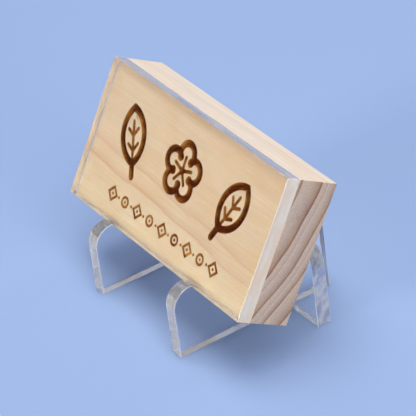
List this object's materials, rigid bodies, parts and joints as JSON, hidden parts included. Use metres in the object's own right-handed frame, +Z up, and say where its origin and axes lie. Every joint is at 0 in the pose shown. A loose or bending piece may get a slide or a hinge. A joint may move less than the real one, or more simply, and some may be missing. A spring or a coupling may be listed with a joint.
{
  "type": "wooden plaque",
  "caption": "Small engraved wood plaque with a clear face plate, leaning back in a clear slotted stand of interlocking plates.",
  "frame": {"origin": "on the table, under the middle of the whole object", "axes": "+X along the plaque to the viewer's right, +Y from its front to its back, +Z up"},
  "size_m": [0.1, 0.0586, 0.0672],
  "materials": {
    "wood": "sanded, with burnt engraving",
    "clear_acrylic": "polished clear sheet with laser-cut edges",
    "clear_adhesive": "clear bonding layer"
  },
  "bodies": {
    "stand": {"left_side_plate": "clear_acrylic", "right_side_plate": "clear_acrylic"},
    "brace": {"cross_brace": "clear_acrylic"},
    "plaque": {"wood_block": "wood", "face_plate": "clear_acrylic", "adhesive_film": "clear_adhesive"}
  },
  "joints": [
    {"name": "plaque_lift", "type": "slide", "parent": "stand", "child": "plaque", "axis": [0, 0, 1], "range_m": [0, 0.05]},
    {"name": "brace_lift", "type": "slide", "parent": "stand", "child": "brace", "axis": [0, 0, 1], "range_m": [0, 0.015]}
  ]
}
